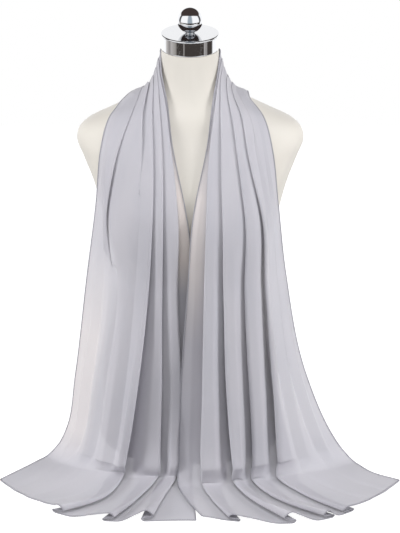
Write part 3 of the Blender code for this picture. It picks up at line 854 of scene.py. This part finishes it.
def add_softbox(name, place, size, power):
    """A soft area lamp, aimed at the middle of the form. The chrome doesn't show it."""
    lamp = bpy.data.lights.new(name, "AREA")
    lamp.shape = "RECTANGLE"
    lamp.size, lamp.size_y = size
    lamp.energy = power
    made = bpy.data.objects.new(name, lamp)
    bpy.context.scene.collection.objects.link(made)
    made.location = place
    made.rotation_euler = (Vector(SOFTBOX_AIM) - Vector(place)).to_track_quat("-Z", "Y").to_euler()
    made.visible_glossy = False


def ramp_round(tree, share, stops):
    """Colours at angles from the front, in degrees, towards +X, from -180 to 180."""
    ramp = add_node(tree, "ShaderNodeValToRGB", {"Fac": share})
    elements = ramp.color_ramp.elements
    elements[0].position, elements[1].position = 0, 1
    elements[0].color, elements[1].color = linear(stops[0][1]), linear(stops[-1][1])
    for angle, code in stops:
        elements.new(angle / 360 + 0.5).color = linear(code)
    return ramp.outputs["Color"]


def add_studio_world():
    """Soft light from all round. What shines sees a studio instead: white walls, with the dim room behind
    the camera, a dark ceiling, and past the table the floor. The camera sees plain white."""
    world = bpy.data.worlds.new("studio")
    bpy.context.scene.world = world
    world.use_nodes = True
    tree = world.node_tree
    way = add_node(tree, "ShaderNodeTexCoord").outputs["Generated"]
    x, y, height = add_node(tree, "ShaderNodeSeparateXYZ", {"Vector": way}).outputs
    ahead = add_node(tree, "ShaderNodeMath", {0: y, 1: -1}, operation="MULTIPLY").outputs[0]
    angle = add_node(tree, "ShaderNodeMath", {0: x, 1: ahead}, operation="ARCTAN2").outputs[0]
    around = add_node(
        tree, "ShaderNodeMath", {0: angle, 1: 1 / math.tau, 2: 0.5}, operation="MULTIPLY_ADD"
    ).outputs[0]
    walls, far_floor = (ramp_round(tree, around, stops) for stops in (WALL_STOPS, FAR_FLOOR_STOPS))
    slope = add_node(
        tree, "ShaderNodeMath", {0: ahead, 1: WALL_TOP_RISE, 2: WALL_TOP}, operation="MULTIPLY_ADD"
    ).outputs[0]
    top = add_node(tree, "ShaderNodeMath", {0: slope, 1: LEAST_WALL_TOP}, operation="MAXIMUM").outputs[0]
    over = add_node(tree, "ShaderNodeMath", {0: height, 1: top}, operation="SUBTRACT").outputs[0]
    above = add_node(
        tree, "ShaderNodeMapRange", {"Value": over, "From Min": -WALL_TOP_BLUR, "From Max": WALL_TOP_BLUR},
        interpolation_type="SMOOTHSTEP",
    ).outputs["Result"]
    sides = add_node(
        tree, "ShaderNodeMix", {"Factor": above, MIX_A: walls, MIX_B: linear(CEILING)}, data_type="RGBA"
    ).outputs[MIX_RESULT]
    below = add_node(
        tree, "ShaderNodeMapRange",
        {
            "Value": height, "From Min": FAR_FLOOR_EDGE[0], "From Max": FAR_FLOOR_EDGE[1],
            "To Min": 1, "To Max": 0,
        },
        interpolation_type="SMOOTHSTEP",
    ).outputs["Result"]
    all_round = add_node(
        tree, "ShaderNodeMix", {"Factor": below, MIX_A: sides, MIX_B: far_floor}, data_type="RGBA"
    ).outputs[MIX_RESULT]
    room, soft, white = (
        add_node(tree, "ShaderNodeBackground", {"Color": colour, "Strength": strength}).outputs[0]
        for colour, strength in ((all_round, WALL_STRENGTH), (WHITE, SOFT_STRENGTH), (WHITE, 1.0))
    )
    ray = add_node(tree, "ShaderNodeLightPath").outputs
    lit = add_node(
        tree, "ShaderNodeMixShader", {0: ray["Is Glossy Ray"], 1: soft, 2: room}
    ).outputs[0]
    mixed = add_node(
        tree, "ShaderNodeMixShader", {0: ray["Is Camera Ray"], 1: lit, 2: white}
    ).outputs[0]
    set_inputs(tree.nodes["World Output"], {"Surface": mixed})


def add_stage():
    """The floor, the light from all round and the softboxes."""
    bm = bmesh.new()
    bmesh.ops.create_grid(bm, x_segments=1, y_segments=1, size=FLOOR_HALF)
    floor = add_piece("floor", bm, floor_material())
    add_studio_world()
    for softbox in SOFTBOXES:
        add_softbox(*softbox)


def add_camera():
    """The camera, looking down at the form from the front."""
    lens = bpy.data.cameras.new("camera")
    lens.sensor_width = SENSOR_MM
    lens.lens = FOCAL_PIXELS * SENSOR_MM / PICTURE_HEIGHT
    camera = bpy.data.objects.new("camera", lens)
    bpy.context.scene.collection.objects.link(camera)
    camera.location = CAMERA_PLACE
    camera.rotation_euler = (math.radians(90 - CAMERA_PITCH), 0, 0)
    bpy.context.scene.camera = camera


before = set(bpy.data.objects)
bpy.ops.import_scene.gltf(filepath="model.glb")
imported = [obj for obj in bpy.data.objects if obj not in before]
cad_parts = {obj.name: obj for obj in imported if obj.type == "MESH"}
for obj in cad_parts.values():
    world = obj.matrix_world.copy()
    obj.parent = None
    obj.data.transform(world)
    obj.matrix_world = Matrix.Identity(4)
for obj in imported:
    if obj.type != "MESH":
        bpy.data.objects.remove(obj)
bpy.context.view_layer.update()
build()
add_stage()
add_camera()
bpy.context.scene.view_settings.view_transform = "Standard"
